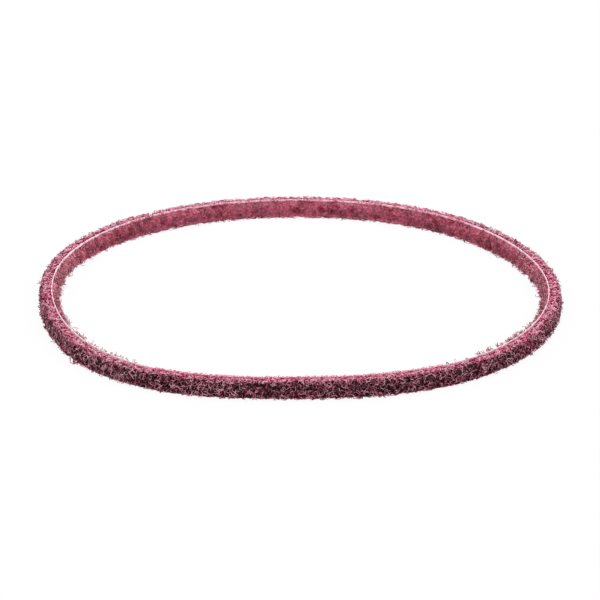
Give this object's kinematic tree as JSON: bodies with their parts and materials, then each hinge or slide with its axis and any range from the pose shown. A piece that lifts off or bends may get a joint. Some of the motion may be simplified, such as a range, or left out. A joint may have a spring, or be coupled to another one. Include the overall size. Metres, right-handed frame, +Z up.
{
  "type": "sanding belt",
  "caption": "Narrow endless sanding belt of nonwoven abrasive web on a white woven backing, lying on its edge as an open loop with a soft curly nap inside",
  "frame": {"origin": "middle of the loop's footprint, on the surface that the belt's lower edge rests on", "axes": "+Z up, along the belt's width; X and Y in the plane of the open loop, with the picture looking along +Y and +X to its right"},
  "size_m": [0.1708, 0.1698, 0.006],
  "materials": {
    "coated_nylon_web": "matt curly nylon fibres, maroon, with a dark mineral coat on the working face and bare pink at the cut edges",
    "polyester_scrim": "matt white woven backing, seen only as a thin line at the cut edge",
    "bare_nylon_nap": "matt dusty pink needled fibres with stray curls"
  },
  "bodies": {
    "root": {"abrasive_web": "coated_nylon_web", "woven_scrim": "polyester_scrim", "needled_nap": "bare_nylon_nap"}
  },
  "joints": []
}
